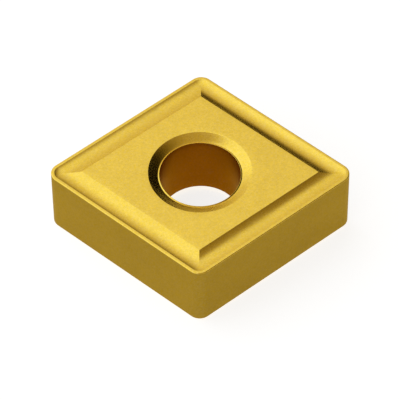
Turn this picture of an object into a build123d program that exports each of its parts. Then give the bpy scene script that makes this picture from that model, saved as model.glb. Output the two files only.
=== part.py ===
"""A double-sided turning insert: one rhombic plate, pressed, sintered and coated.

Millimetres and degrees. The lower seat lies on z = 0 and the clamping bore runs along +Z.
The long diagonal of the rhombus runs along X and the short one along Y. Both faces are
alike: a flat seat, a chip groove all round it and a narrow land at the cutting edge.
"""
import os
from math import cos, radians, sin

from build123d import *

# Plan of the plate
inscribed_circle = 12.7
corner_angle = 80
nose_radius = 0.8

# Heights: from a seat to the opposite cutting edge, and from a cutting edge up to its own seat
thickness = 4.76
seat_rise = 0.105

# Honed cutting edge, the land behind it and the chip groove, measured inward from the flank
hone_radius = 0.06
land_width = 0.21
groove_radius = 1.95
seat_inset = 1.54

# Clamping bore, countersunk from both faces
bore_diameter = 5.16
countersink_diameter = 6.58
countersink_angle = 130

# How far the groove's cutter reaches past the stock
cutter_overrun = 1

# The rhombus, and the quarter of it that is drawn between its two half diagonals
half_corner = radians(corner_angle / 2)
flank_distance = inscribed_circle / 2
long_half_diagonal = flank_distance / sin(half_corner)
short_half_diagonal = flank_distance / cos(half_corner)
flank_normal = Vector(sin(half_corner), cos(half_corner), 0)
flank_direction = Vector(-cos(half_corner), sin(half_corner), 0)
long_nose_centre = Vector(long_half_diagonal - nose_radius / sin(half_corner), 0)
short_nose_centre = Vector(0, short_half_diagonal - nose_radius / cos(half_corner))

# Heights above the lower seat
edge_height = thickness
seat_height = edge_height + seat_rise
middle_height = seat_height / 2
middle_plane = Plane.XY.offset(middle_height)


def groove_section(outline_point, reach):
    """The groove's cutter in section, over a point of the outline and inward as far as reach."""
    upright = Plane(
        origin=(outline_point.X, outline_point.Y, edge_height),
        x_dir=-flank_normal,
        z_dir=flank_direction,
    )
    cutter_top = seat_rise + cutter_overrun
    cutter_bottom = -groove_radius
    with BuildSketch(upright) as section:
        with BuildLine():
            land = Line((-cutter_overrun, 0), (land_width, 0))
            groove = RadiusArc(land @ 1, (seat_inset, seat_rise), -groove_radius)
            Polyline(
                groove @ 1,
                (seat_inset, cutter_top),
                (-cutter_overrun, cutter_top),
                land @ 0,
            )
        make_face()
        with Locations((-cutter_overrun, cutter_bottom)):
            Rectangle(
                cutter_overrun + reach,
                cutter_top - cutter_bottom,
                align=(Align.MIN, Align.MIN),
                mode=Mode.INTERSECT,
            )
    return section.sketch


# A quarter of the groove: the run along one flank, and half the turn round each nose
run_section = groove_section(flank_normal * flank_distance, seat_inset)
long_nose_section = groove_section(long_nose_centre + flank_normal * nose_radius, nose_radius)
short_nose_section = groove_section(short_nose_centre + flank_normal * nose_radius, nose_radius)
outer_reach = flank_normal * (nose_radius + cutter_overrun)

with BuildPart() as groove_quarter:
    extrude(run_section, amount=long_half_diagonal, both=True)
    with BuildSketch(middle_plane):
        Polygon(
            (0, 0),
            long_nose_centre,
            long_nose_centre + outer_reach,
            short_nose_centre + outer_reach,
            short_nose_centre,
            align=None,
        )
    extrude(amount=seat_height, mode=Mode.INTERSECT)
    revolve(
        long_nose_section,
        axis=Axis(long_nose_centre, (0, 0, -1)),
        revolution_arc=90 - corner_angle / 2,
    )
    revolve(
        short_nose_section,
        axis=Axis(short_nose_centre, (0, 0, 1)),
        revolution_arc=corner_angle / 2,
    )

# All round the plate
with BuildPart() as groove_ring:
    add(groove_quarter.part)
    mirror(about=Plane.XZ)
    mirror(about=Plane.YZ)

# The upper half of the plate, and its mirror image below
with BuildPart() as insert_body:
    with BuildSketch(middle_plane):
        Polygon(
            (long_half_diagonal, 0),
            (0, short_half_diagonal),
            (-long_half_diagonal, 0),
            (0, -short_half_diagonal),
            align=None,
        )
        fillet(vertices(), radius=nose_radius)
    extrude(amount=seat_height - middle_height)
    add(groove_ring.part, mode=Mode.SUBTRACT)
    land_face = faces().filter_by(Plane.XY).group_by(Axis.Z)[-2][0]
    fillet(land_face.outer_wire().edges(), radius=hone_radius)
    with Locations((0, 0, seat_height)):
        CounterSinkHole(
            bore_diameter / 2,
            countersink_diameter / 2,
            counter_sink_angle=countersink_angle,
        )
    mirror(about=middle_plane)

insert_body.part.label = "insert_body"

os.makedirs("parts", exist_ok=True)
export_step(insert_body.part, "parts/insert_body.step")
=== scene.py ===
"""Looks of a gold-coated turning insert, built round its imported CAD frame.

Metres throughout, in the frame of the part: the lower seat lies on z = 0 and the bore runs along +Z.
"""
import math

import bmesh
import bpy
from mathutils import Matrix, Vector


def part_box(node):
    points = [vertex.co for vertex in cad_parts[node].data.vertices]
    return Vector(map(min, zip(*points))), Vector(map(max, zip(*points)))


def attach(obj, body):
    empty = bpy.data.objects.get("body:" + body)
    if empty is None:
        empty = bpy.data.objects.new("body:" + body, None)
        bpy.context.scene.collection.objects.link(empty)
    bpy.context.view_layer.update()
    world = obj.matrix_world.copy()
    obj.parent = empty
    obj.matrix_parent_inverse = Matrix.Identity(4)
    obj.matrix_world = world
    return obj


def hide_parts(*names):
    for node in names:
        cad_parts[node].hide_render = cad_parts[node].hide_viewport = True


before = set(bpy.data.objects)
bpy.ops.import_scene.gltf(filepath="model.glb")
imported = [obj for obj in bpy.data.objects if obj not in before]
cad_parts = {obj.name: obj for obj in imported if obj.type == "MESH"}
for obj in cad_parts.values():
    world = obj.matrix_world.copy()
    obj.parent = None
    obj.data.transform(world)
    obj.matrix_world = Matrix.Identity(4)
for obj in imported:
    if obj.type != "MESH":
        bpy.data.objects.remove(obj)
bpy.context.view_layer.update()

MM = 0.001

# The plate's size comes from the frame, and its section is that of the part's source
seat_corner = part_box("insert_body")[1]
seat_height = seat_corner.z
middle_height = seat_height / 2
nose_radius = 0.8 * MM
seat_rise = 0.105 * MM
hone_radius = 0.06 * MM
land_width = 0.21 * MM
groove_radius = 1.95 * MM
seat_inset = 1.54 * MM
bore_radius = 2.58 * MM
countersink_radius = 3.29 * MM
countersink_angle = math.radians(130)

# Small roundings that pressing, honing and coating leave on the edges
land_edge_radius = 0.10 * MM
seat_edge_radius = 0.04 * MM
countersink_edge_radius = 0.10 * MM

# Fine lip that the core pin leaves round the mouth of the bore, at the foot of the countersink
lip_width = 0.09 * MM
lip_slope = math.radians(32)
lip_edge_radius = 0.02 * MM

# Long and short noses: the centres of their roundings lie on the X and Y axes
long_nose_x = seat_corner.x - nose_radius
short_nose_y = seat_corner.y - nose_radius
half_corner = math.atan2(short_nose_y, long_nose_x)
flank_normal = Vector((math.sin(half_corner), math.cos(half_corner)))

# Divisions of the mesh, round a quarter of the outline and along the section
LONG_NOSE_STEPS = 20
RUN_STEPS = 48
SHORT_NOSE_STEPS = 16
QUARTER_STEPS = LONG_NOSE_STEPS + RUN_STEPS + SHORT_NOSE_STEPS
HONE_STEPS = 8
GROOVE_STEPS = 14
EDGE_STEPS = 3
FLANK_STEPS = 3
SEAT_STEPS = 6
CONE_STEPS = 3
BORE_STEPS = 5
MERGE_DISTANCE = 0.0001 * MM


def outline_point(step, inset):
    """A point of the outline's first quarter, moved inward.

    Further in than the nose radius, the rounded corners have shrunk to mitres.
    """
    turn = max(nose_radius - inset, 0)
    past = max(inset - nose_radius, 0)
    long_centre = Vector((long_nose_x - past / math.sin(half_corner), 0))
    short_centre = Vector((0, short_nose_y - past / math.cos(half_corner)))
    if step < LONG_NOSE_STEPS:
        angle = (math.pi / 2 - half_corner) * step / LONG_NOSE_STEPS
        return long_centre + turn * Vector((math.cos(angle), math.sin(angle)))
    if step > LONG_NOSE_STEPS + RUN_STEPS:
        angle = half_corner * (QUARTER_STEPS - step) / SHORT_NOSE_STEPS
        return short_centre + turn * Vector((math.sin(angle), math.cos(angle)))
    share = (step - LONG_NOSE_STEPS) / RUN_STEPS
    return long_centre.lerp(short_centre, share) + turn * flank_normal


def circle_point(step, radius):
    """The point of a circle about the bore that answers to a step of the outline's first quarter."""
    share = min(max((step - LONG_NOSE_STEPS) / RUN_STEPS, 0), 1)
    angle = share * math.pi / 2
    return radius * Vector((math.cos(angle), math.sin(angle)))


def all_round(quarter_point):
    """A whole ring from the points of its first quarter, mirrored in X and in Y."""
    points = []
    for x_sign, y_sign, forward in ((1, 1, True), (-1, 1, False), (-1, -1, True), (1, -1, False)):
        for step in range(QUARTER_STEPS):
            x, y = quarter_point(step if forward else QUARTER_STEPS - step)
            points.append((x_sign * x, y_sign * y))
    return points


def outline_ring(inset):
    """The plate's outline, moved inward."""
    return all_round(lambda step: outline_point(step, inset))


def circle_ring(radius):
    """A circle about the bore, with as many points as the outline."""
    return all_round(lambda step: circle_point(step, radius))


def arc(centre, radius, start, end, steps):
    """Points of a section's arc, its angles in radians from the inward axis towards the height."""
    angles = [start + (end - start) * i / steps for i in range(steps + 1)]
    return [centre + radius * Vector((math.cos(a), math.sin(a))) for a in angles]


def rounded(before, corner, after, radius, steps=EDGE_STEPS):
    """The arc of that radius that rounds a corner of a section between two neighbouring points."""
    inward = (before - corner).normalized()
    outward = (after - corner).normalized()
    half_opening = inward.angle(outward) / 2
    centre = corner + (inward + outward).normalized() * radius / math.sin(half_opening)
    first = corner + inward * radius / math.tan(half_opening) - centre
    last = corner + outward * radius / math.tan(half_opening) - centre
    turn = first.angle_signed(last)
    points = []
    for i in range(steps + 1):
        points.append(centre + Matrix.Rotation(-turn * i / steps, 2) @ first)
    return points


def edge_section():
    """Inset and height of the honed edge, the land and the groove, up to the seat.

    Height 0 is the cutting edge.
    """
    land_end = Vector((land_width, 0))
    seat_edge = Vector((seat_inset, seat_rise))
    on_seat = seat_edge + Vector((seat_inset, 0))
    chord = seat_edge - land_end
    climb = math.atan2(chord.y, chord.x)
    half_sweep = math.asin(chord.length / 2 / groove_radius)
    first_slope = climb - half_sweep
    last_slope = climb + half_sweep
    centre = land_end + groove_radius * Vector((-math.sin(first_slope), math.cos(first_slope)))
    start = first_slope - math.pi / 2
    end = last_slope - math.pi / 2
    nose_line = math.asin((nose_radius - centre.x) / groove_radius) - math.pi / 2
    outer_wall = arc(centre, groove_radius, start, nose_line, GROOVE_STEPS)
    inner_wall = arc(centre, groove_radius, nose_line, end, GROOVE_STEPS)
    hone_centre = Vector((hone_radius, -hone_radius))
    hone = arc(hone_centre, hone_radius, math.pi, math.pi / 2, HONE_STEPS)
    land_rounding = rounded(hone[-1], land_end, outer_wall[1], land_edge_radius)
    seat_rounding = rounded(inner_wall[-2], seat_edge, on_seat, seat_edge_radius)
    return hone + land_rounding + outer_wall[1:] + inner_wall[1:-1] + seat_rounding


def hole_section():
    """Radius and height of the countersink, the lip at its foot and the bore, down to its middle."""
    cone_slope = (math.pi - countersink_angle) / 2
    foot_radius = bore_radius + lip_width
    foot_depth = (countersink_radius - foot_radius) * math.tan(cone_slope)
    on_seat = Vector((countersink_radius + nose_radius, seat_height))
    mouth = Vector((countersink_radius, seat_height))
    foot = Vector((foot_radius, seat_height - foot_depth))
    crest = Vector((bore_radius, foot.y + lip_width * math.tan(lip_slope)))
    middle = Vector((bore_radius, middle_height))
    mouth_rounding = rounded(on_seat, mouth, foot, countersink_edge_radius)
    foot_rounding = rounded(mouth, foot, crest, lip_edge_radius)
    crest_rounding = rounded(foot, crest, middle, lip_edge_radius, 2 * EDGE_STEPS)
    cone = [mouth_rounding[-1].lerp(foot_rounding[0], i / CONE_STEPS) for i in range(1, CONE_STEPS)]
    bore = [crest_rounding[-1].lerp(middle, i / BORE_STEPS) for i in range(1, BORE_STEPS)]
    return mouth_rounding + cone + foot_rounding + crest_rounding + bore


def half_rings():
    """The rings of the upper half, between the middle of the flank and the middle of the bore."""
    edge_height = seat_height - seat_rise
    flank_top = edge_height - hone_radius
    hole = hole_section()
    rings = []
    for i in range(1, FLANK_STEPS):
        height = middle_height + (flank_top - middle_height) * i / FLANK_STEPS
        rings.append((outline_ring(0), height))
    for inset, rise in edge_section():
        rings.append((outline_ring(inset), edge_height + rise))
    seat_rim = rings[-1][0]
    mouth = circle_ring(hole[0].x)
    for i in range(1, SEAT_STEPS):
        share = i / SEAT_STEPS
        between = [Vector(a).lerp(Vector(b), share) for a, b in zip(seat_rim, mouth)]
        rings.append((between, seat_height))
    for radius, height in hole:
        rings.append((circle_ring(radius), height))
    return rings


def insert_rings():
    """All rings, from the middle of the flank over the upper face and the bore to the lower face."""
    upper = half_rings()
    lower = [(points, seat_height - height) for points, height in reversed(upper)]
    flank_middle = (outline_ring(0), middle_height)
    bore_middle = (circle_ring(bore_radius), middle_height)
    return [flank_middle] + upper + [bore_middle] + lower


def mark_mitres(mesh):
    """The groove's walls meet in sharp mitres between the seat's corners and the noses."""
    long_end = long_nose_x + MERGE_DISTANCE
    short_end = short_nose_y + MERGE_DISTANCE
    seat_x = long_nose_x + (nose_radius - seat_inset) / math.sin(half_corner) - MERGE_DISTANCE
    seat_y = short_nose_y + (nose_radius - seat_inset) / math.cos(half_corner) - MERGE_DISTANCE
    for edge in mesh.edges:
        ends = [vertex.co for vertex in edge.verts]
        on_long = all(abs(p.y) < MERGE_DISTANCE and seat_x < abs(p.x) < long_end for p in ends)
        on_short = all(abs(p.x) < MERGE_DISTANCE and seat_y < abs(p.y) < short_end for p in ends)
        edge.smooth = not (on_long or on_short)


def build_insert():
    """The plate as one closed mesh of rings."""
    mesh = bmesh.new()
    rings = [[mesh.verts.new((x, y, z)) for x, y in points] for points, z in insert_rings()]
    for ring, above in zip(rings, rings[1:] + rings[:1]):
        for i in range(len(ring)):
            following = (i + 1) % len(ring)
            mesh.faces.new((ring[i], ring[following], above[following], above[i]))
    bmesh.ops.remove_doubles(mesh, verts=mesh.verts, dist=MERGE_DISTANCE)
    bmesh.ops.recalc_face_normals(mesh, faces=mesh.faces)
    for face in mesh.faces:
        face.smooth = True
    mark_mitres(mesh)
    data = bpy.data.meshes.new("coated_insert")
    mesh.to_mesh(data)
    mesh.free()
    insert = bpy.data.objects.new("coated_insert", data)
    bpy.context.scene.collection.objects.link(insert)
    weighted = insert.modifiers.new("flat faces stay flat", "WEIGHTED_NORMAL")
    weighted.keep_sharp = True
    return insert


def node_adder(tree):
    """A function that adds a node to a tree, with sockets given by name and settings by attribute."""

    def add(kind, sockets=None, **settings):
        node = tree.nodes.new(kind)
        for key, value in settings.items():
            setattr(node, key, value)
        for key, value in (sockets or {}).items():
            if isinstance(value, bpy.types.NodeSocket):
                tree.links.new(value, node.inputs[key])
            else:
                node.inputs[key].default_value = value
        return node

    return add


def new_material(name):
    """An empty node material, and the function that adds nodes to it."""
    material = bpy.data.materials.new(name)
    material.use_nodes = True
    material.node_tree.nodes.clear()
    return material, node_adder(material.node_tree)


def spread(add, value, low, high, first, last):
    """A value's range from low to high, mapped to numbers from first to last and held beyond."""
    sockets = {"Value": value, "From Min": low, "From Max": high, "To Min": first, "To Max": last}
    return add("ShaderNodeMapRange", sockets).outputs["Result"]


def coating():
    """Satin titanium nitride: a gold metal with the fine grain of the sintered carbide under it.

    The ground flanks are duller than the faces; their darker colour is painted shade, standing in for
    the shaded floor they mirror, and the bore's darker, browner colour is painted shade of the
    hollow.
    The honed edges are the smoothest.
    """
    face_gold = (0.82, 0.56, 0.080, 1)
    # Painted shade: the flank colour is darker than the faces, standing in for the shaded floor the
    # flanks mirror
    flank_gold_painted_shade = (0.358, 0.225, 0.027, 1)
    # Painted shade: the bore colour is darker and browner still, for the shade inside the hole
    bore_gold_painted_shade = (0.264, 0.081, 0.001, 1)
    grazing_gold = (0.95, 0.80, 0.50, 1)
    bore_margin = 0.15 * MM
    ground_roughness = 0.16
    honed_roughness = -0.14
    bump_strength = 0.3
    bump_height = 0.006 * MM

    # Where a finish or the painted shade ends or begins: how upright the normal is, 0 on a flank and
    # 1 on a seat
    flank_end = 0.1
    hone_start = 0.4
    face_start = 0.6
    hone_end = 0.75
    groove_start = 0.88

    material, add = new_material("coated_carbide")
    place = add("ShaderNodeTexCoord").outputs["Object"]
    in_mm = add("ShaderNodeVectorMath", {0: place, "Scale": 1 / MM}, operation="SCALE").outputs[0]

    def noise(scale, detail, roughness):
        """Noise, its scale counted per millimetre."""
        return add("ShaderNodeTexNoise", {
            "Vector": in_mm,
            "Scale": scale,
            "Detail": detail,
            "Roughness": roughness,
        })

    def varied(factor, lowest, highest):
        """The middle of a noise's range, mapped to values from lowest to highest."""
        noise_low = 0.3
        noise_high = 0.7
        return spread(add, factor, noise_low, noise_high, lowest, highest)

    grain = noise(scale=7.5, detail=3.0, roughness=0.6)
    mottle = noise(scale=2.6, detail=5.0, roughness=0.6)
    cloud = noise(scale=0.45, detail=2.0, roughness=0.5)

    normal = add("ShaderNodeNewGeometry").outputs["Normal"]
    normal_z = add("ShaderNodeSeparateXYZ", {0: normal}).outputs["Z"]
    upright = add("ShaderNodeMath", {0: normal_z}, operation="ABSOLUTE").outputs[0]
    # Mask of the painted shade: it darkens the colour of the upright flanks and bore
    flank = spread(add, upright, flank_end, face_start, 1, 0)
    in_plan = add("ShaderNodeVectorMath", {0: place, 1: (1, 1, 0)}, operation="MULTIPLY").outputs[0]
    reach = add("ShaderNodeVectorMath", {0: in_plan}, operation="LENGTH").outputs["Value"]
    # Painted shade in the bore: the colour turns darker and browner near the bore wall
    bore = spread(add, reach, bore_radius, bore_radius + bore_margin, 1, 0)
    wall_gold_with_painted_shade = add("ShaderNodeMix", {
        "Factor": bore,
        "A": flank_gold_painted_shade,
        "B": bore_gold_painted_shade,
    }, data_type="RGBA")
    # The face colour gives way to the painted flank and bore shade on the upright surfaces
    gold = add("ShaderNodeMix", {
        "Factor": flank,
        "A": face_gold,
        "B": wall_gold_with_painted_shade.outputs["Result"],
    }, data_type="RGBA")
    speckle = varied(grain.outputs["Fac"], lowest=0.93, highest=1.07)
    patch = varied(mottle.outputs["Fac"], lowest=0.97, highest=1.03)
    value = add("ShaderNodeMath", {0: speckle, 1: patch}, operation="MULTIPLY").outputs[0]
    hues = add("ShaderNodeSeparateColor", {0: grain.outputs["Color"]})
    saturation = varied(hues.outputs["Green"], lowest=0.95, highest=1.05)
    tinted = add("ShaderNodeHueSaturation", {
        "Color": gold.outputs["Result"],
        "Saturation": saturation,
        "Value": value,
    })

    roughness = varied(cloud.outputs["Fac"], lowest=0.23, highest=0.30)
    ground = spread(add, upright, flank_end, face_start, ground_roughness, 0)
    below_hone = spread(add, upright, flank_end, hone_start, 0, honed_roughness)
    above_hone = spread(add, upright, hone_end, groove_start, honed_roughness, 0)
    honed = add("ShaderNodeMath", {0: below_hone, 1: above_hone}, operation="MAXIMUM").outputs[0]
    for change in (ground, honed):
        roughness = add("ShaderNodeMath", {0: roughness, 1: change}, operation="ADD").outputs[0]
    bump = add("ShaderNodeBump", {
        "Height": grain.outputs["Fac"],
        "Strength": bump_strength,
        "Distance": bump_height,
    })
    metal = add("ShaderNodeBsdfPrincipled", {
        "Metallic": 1.0,
        "Base Color": tinted.outputs["Color"],
        "Roughness": roughness,
        "Normal": bump.outputs["Normal"],
        "Specular Tint": grazing_gold,
    })
    add("ShaderNodeOutputMaterial", {"Surface": metal.outputs["BSDF"]})
    return material


def floor_material():
    """A white floor that keeps the plate's shadow. What looks at it or mirrors it sees it glow."""
    glow_strength = 0.81
    grey = (0.36, 0.36, 0.36, 1)
    material, add = new_material("white_floor")
    diffuse = add("ShaderNodeBsdfDiffuse", {"Color": grey})
    path = add("ShaderNodeLightPath").outputs
    seen = path["Is Camera Ray"]
    for ray in ("Is Glossy Ray", "Is Transmission Ray"):
        seen = add("ShaderNodeMath", {0: seen, 1: path[ray]}, operation="MAXIMUM").outputs[0]
    glow = add("ShaderNodeMath", {0: seen, 1: glow_strength}, operation="MULTIPLY").outputs[0]
    emission = add("ShaderNodeEmission", {"Strength": glow})
    both = add("ShaderNodeAddShader", {0: diffuse.outputs[0], 1: emission.outputs[0]})
    add("ShaderNodeOutputMaterial", {"Surface": both.outputs[0]})
    return material


def build_floor():
    """A wide plain floor, a hair below the lower seat."""
    half_size = 20.0
    drop = 0.01 * MM
    mesh = bmesh.new()
    bmesh.ops.create_grid(mesh, x_segments=1, y_segments=1, size=half_size)
    bmesh.ops.translate(mesh, verts=mesh.verts, vec=(0, 0, -drop))
    data = bpy.data.meshes.new("floor")
    mesh.to_mesh(data)
    mesh.free()
    floor = bpy.data.objects.new("floor", data)
    floor.data.materials.append(floor_material())
    bpy.context.scene.collection.objects.link(floor)


def add_camera():
    """The photograph's view: a long lens, from the front and above."""
    elevation = math.radians(51.097)
    azimuth = math.radians(0.957)
    roll = math.radians(-0.621)
    distance = 208.685 * MM
    focal_pixels = 3245.3
    image_width = 400
    sensor_width = 36
    nearest = 0.01
    aim_right = -0.0407 * MM
    aim_up = 1.2006 * MM
    aim_height = 0.105 * MM
    back = Vector((
        math.sin(azimuth) * math.cos(elevation),
        -math.cos(azimuth) * math.cos(elevation),
        math.sin(elevation),
    ))
    level = Vector((math.cos(azimuth), math.sin(azimuth), 0))
    up = back.cross(level)
    right = level * math.cos(roll) + up * math.sin(roll)
    upward = up * math.cos(roll) - level * math.sin(roll)
    camera_data = bpy.data.cameras.new("camera")
    camera_data.sensor_width = sensor_width
    camera_data.lens = focal_pixels * sensor_width / image_width
    camera_data.clip_start = nearest
    camera = bpy.data.objects.new("camera", camera_data)
    bpy.context.scene.collection.objects.link(camera)
    place = right * aim_right + upward * aim_up + back * distance + Vector((0, 0, aim_height))
    turn = Matrix((right, upward, back)).transposed()
    camera.matrix_world = Matrix.Translation(place) @ turn.to_4x4()
    bpy.context.scene.camera = camera


def direction(azimuth, elevation):
    """A unit vector, from an azimuth counted from +X towards +Y and an elevation, in degrees."""
    around = math.radians(azimuth)
    above = math.radians(elevation)
    return Vector((
        math.cos(around) * math.cos(above),
        math.sin(around) * math.cos(above),
        math.sin(above),
    ))


def add_world():
    """A soft studio dome: bright at the plate's left and behind it, and dimmer at its right.

    It is white from the horizon down. Dim light is warm and full light is neutral, as the tones of
    the photograph are.
    """
    brightest = 1.22
    dim_colour = (1.0, 0.63, 0.0, 1)
    full_colour = (1, 1, 1, 1)
    horizon_full = 0.07
    horizon_end = 0.10
    world = bpy.data.worlds.new("studio")
    world.use_nodes = True
    world.node_tree.nodes.clear()
    add = node_adder(world.node_tree)
    looking = add("ShaderNodeTexCoord").outputs["Generated"]

    def soft_light(azimuth, elevation, edge, middle, strength):
        """A soft round light: dark beyond the edge and full at the middle, both as cosines."""
        towards = direction(azimuth, elevation)
        cosine = add("ShaderNodeVectorMath", {0: looking, 1: towards}, operation="DOT_PRODUCT")
        return add("ShaderNodeMapRange", {
            "Value": cosine.outputs["Value"],
            "From Min": edge,
            "From Max": middle,
            "To Max": strength,
        }, interpolation_type="SMOOTHSTEP").outputs["Result"]

    main = soft_light(azimuth=128, elevation=42, edge=0.69, middle=0.83, strength=0.82)
    wide = soft_light(azimuth=216, elevation=46, edge=0.02, middle=0.75, strength=0.53)
    low = soft_light(azimuth=206, elevation=-10, edge=0.19, middle=0.75, strength=1.0)
    behind = soft_light(azimuth=93, elevation=2, edge=0.87, middle=0.99, strength=0.09)
    above = soft_light(azimuth=40, elevation=69, edge=0.93, middle=0.995, strength=0.07)
    fill = soft_light(azimuth=334, elevation=-10, edge=0.62, middle=0.93, strength=0.52)
    light = 0
    for lamp in (main, wide, low, behind, above, fill):
        light = add("ShaderNodeMath", {0: light, 1: lamp}, operation="ADD").outputs[0]
    light = spread(add, light, 0, brightest, 0, brightest)
    height = add("ShaderNodeSeparateXYZ", {0: looking}).outputs["Z"]
    horizon = spread(add, height, horizon_full, horizon_end, 1, 0)
    light = add("ShaderNodeMath", {0: light, 1: horizon}, operation="MAXIMUM").outputs[0]
    warmth = add("ShaderNodeMix", {
        "Factor": light,
        "A": dim_colour,
        "B": full_colour,
    }, data_type="RGBA", clamp_factor=False)
    background = add("ShaderNodeBackground", {"Color": warmth.outputs["Result"], "Strength": light})
    add("ShaderNodeOutputWorld", {"Surface": background.outputs[0]})
    bpy.context.scene.world = world


insert = build_insert()
insert.data.materials.append(coating())
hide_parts("insert_body")
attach(insert, "root")

build_floor()
add_camera()
add_world()

bpy.context.scene.view_settings.view_transform = "Standard"
